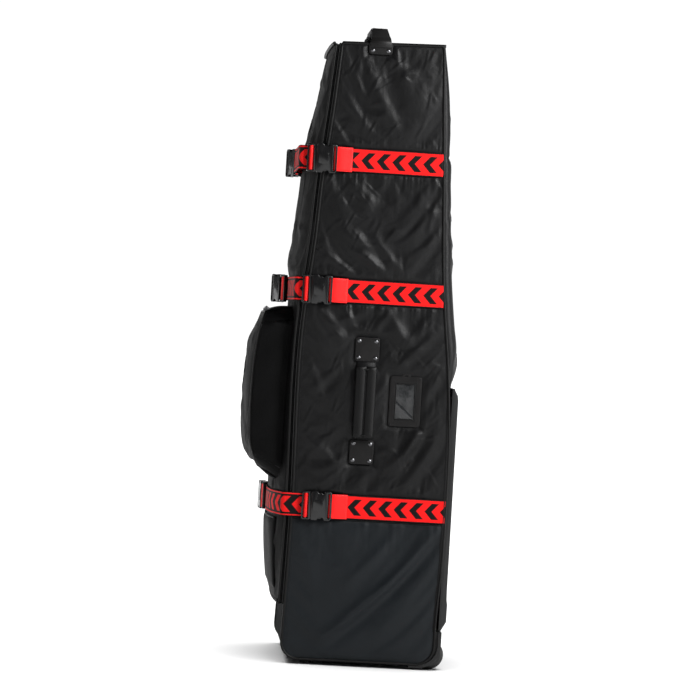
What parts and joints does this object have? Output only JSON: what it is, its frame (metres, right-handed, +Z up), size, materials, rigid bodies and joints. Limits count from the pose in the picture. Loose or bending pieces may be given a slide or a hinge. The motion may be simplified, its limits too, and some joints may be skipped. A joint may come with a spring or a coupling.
{
  "type": "wheeled sports travel bag",
  "caption": "Tall upright soft bag on wheels for long sports gear, with a zipped front door, deep front pocket, compression straps with buckles, carry handles and a moulded base and spine.",
  "frame": {"origin": "on the floor, at the centre of the bag's outline in plan", "axes": "+Z up, -Y the front with the door and pockets, +Y the back with the spine and wheels, +X the side with the carry handle and address window"},
  "size_m": [0.388, 0.4473, 1.331],
  "materials": {
    "body_fabric": "black woven nylon with a soft sheen",
    "boot_fabric": "smooth coated black fabric",
    "zip_tape": "black coil zip",
    "zip_metal": "black enamelled metal",
    "buckle_plastic": "glossy black moulding",
    "webbing": "red woven webbing with a black pattern",
    "handle_webbing": "black woven webbing",
    "grip_fabric": "padded black fabric",
    "patch_leather": "black grained synthetic leather",
    "rivet_metal": "dark nickel",
    "clear_film": "clear soft film",
    "moulded_plastic": "satin black moulding",
    "wheel_tyre": "soft black polyurethane",
    "hub_plastic": "dark grey moulding",
    "steel": "plain steel"
  },
  "bodies": {
    "shell": {"axle_bolts": "steel", "back_panel": "body_fabric", "base_tray": "moulded_plastic", "buckle_socket_low_right": "buckle_plastic", "buckle_socket_mid_right": "buckle_plastic", "buckle_socket_top_right": "buckle_plastic", "front_feet": "moulded_plastic", "handle_rivets": "rivet_metal", "id_frame": "patch_leather", "id_window": "clear_film", "lower_front_panel": "boot_fabric", "main_zip_tape": "zip_tape", "side_handle_patches": "patch_leather", "side_handle_strap": "handle_webbing", "side_panel_left": "body_fabric", "side_panel_right": "body_fabric", "side_webbing_low_left": "webbing", "side_webbing_low_right": "webbing", "side_webbing_mid_left": "webbing", "side_webbing_mid_right": "webbing", "side_webbing_top_left": "webbing", "side_webbing_top_right": "webbing", "skid_rails": "moulded_plastic", "spine_shell": "moulded_plastic", "top_handle_patches": "patch_leather", "top_panel": "body_fabric", "wheel_housing_left": "moulded_plastic", "wheel_housing_right": "moulded_plastic"},
    "door": {"door_panel": "body_fabric", "door_zip_tape": "zip_tape", "pocket_shell": "body_fabric", "lower_pocket": "boot_fabric"},
    "pocket_flap": {"pocket_lid": "body_fabric"},
    "pocket_slider": {"pocket_zip_slider": "zip_metal"},
    "pocket_pull": {"pocket_zip_pull": "zip_metal"},
    "wheel_right": {"wheel_tyre_right": "wheel_tyre", "wheel_hub_right": "hub_plastic", "wheel_bearings_right": "steel"},
    "wheel_left": {"wheel_tyre_left": "wheel_tyre", "wheel_hub_left": "hub_plastic", "wheel_bearings_left": "steel"},
    "side_handle": {"side_handle_grip": "grip_fabric"},
    "top_handle": {"top_handle_grip": "grip_fabric", "top_handle_strap": "handle_webbing"},
    "main_slider_right": {"main_zip_slider_right": "zip_metal"},
    "main_pull_right": {"main_zip_pull_right": "zip_metal"},
    "main_slider_left": {"main_zip_slider_left": "zip_metal"},
    "main_pull_left": {"main_zip_pull_left": "zip_metal"},
    "strap_top": {"front_webbing_top": "webbing", "buckle_plug_top_right": "buckle_plastic", "buckle_plug_top_left": "buckle_plastic", "buckle_socket_top_left": "buckle_plastic"},
    "strap_mid": {"front_webbing_mid": "webbing", "buckle_plug_mid_right": "buckle_plastic", "buckle_plug_mid_left": "buckle_plastic", "buckle_socket_mid_left": "buckle_plastic"},
    "strap_low": {"front_webbing_low": "webbing", "buckle_plug_low_right": "buckle_plastic", "buckle_plug_low_left": "buckle_plastic", "buckle_socket_low_left": "buckle_plastic"}
  },
  "joints": [
    {"name": "door_hinge", "type": "hinge", "parent": "shell", "child": "door", "pos_m": [-0.18, -0.088, 0.7], "axis": [0, 0, -1], "range_deg": [0, 95]},
    {"name": "pocket_lid_hinge", "type": "hinge", "parent": "door", "child": "pocket_flap", "pos_m": [0, -0.1835, 0.402], "axis": [1, 0, 0], "range_deg": [0, 75]},
    {"name": "pocket_zip_slide", "type": "slide", "parent": "door", "child": "pocket_slider", "axis": [-1, 0, 0], "range_m": [0, 0.2]},
    {"name": "pocket_pull_hinge", "type": "hinge", "parent": "pocket_slider", "child": "pocket_pull", "pos_m": [0.109, -0.1865, 0.731], "axis": [0, -1, 0], "range_deg": [0, 90]},
    {"name": "wheel_right_spin", "type": "hinge", "parent": "shell", "child": "wheel_right", "pos_m": [0.152, 0.19, 0.031], "axis": [1, 0, 0], "continuous": true},
    {"name": "wheel_left_spin", "type": "hinge", "parent": "shell", "child": "wheel_left", "pos_m": [-0.152, 0.19, 0.031], "axis": [1, 0, 0], "continuous": true},
    {"name": "side_handle_lift", "type": "slide", "parent": "shell", "child": "side_handle", "axis": [1, 0, 0], "range_m": [0, 0.008]},
    {"name": "top_handle_lift", "type": "slide", "parent": "shell", "child": "top_handle", "axis": [0, 0, 1], "range_m": [0, 0.01]},
    {"name": "main_zip_slide_right", "type": "slide", "parent": "shell", "child": "main_slider_right", "axis": [1, 0, 0], "range_m": [0, 0.14]},
    {"name": "main_pull_hinge_right", "type": "hinge", "parent": "main_slider_right", "child": "main_pull_right", "pos_m": [0.013, -0.0695, 1.2898], "axis": [0, -1, 0], "range_deg": [0, 90]},
    {"name": "main_zip_slide_left", "type": "slide", "parent": "shell", "child": "main_slider_left", "axis": [-1, 0, 0], "range_m": [0, 0.14]},
    {"name": "main_pull_hinge_left", "type": "hinge", "parent": "main_slider_left", "child": "main_pull_left", "pos_m": [-0.013, -0.0695, 1.2898], "axis": [0, 1, 0], "range_deg": [0, 90]},
    {"name": "strap_top_swing", "type": "hinge", "parent": "door", "child": "strap_top", "pos_m": [-0.18, -0.088, 0.7], "axis": [0, 0, -1], "range_deg": [0, 45]},
    {"name": "strap_mid_swing", "type": "hinge", "parent": "door", "child": "strap_mid", "pos_m": [-0.18, -0.088, 0.7], "axis": [0, 0, -1], "range_deg": [0, 45]},
    {"name": "strap_low_swing", "type": "hinge", "parent": "door", "child": "strap_low", "pos_m": [-0.18, -0.088, 0.7], "axis": [0, 0, -1], "range_deg": [0, 45]}
  ]
}
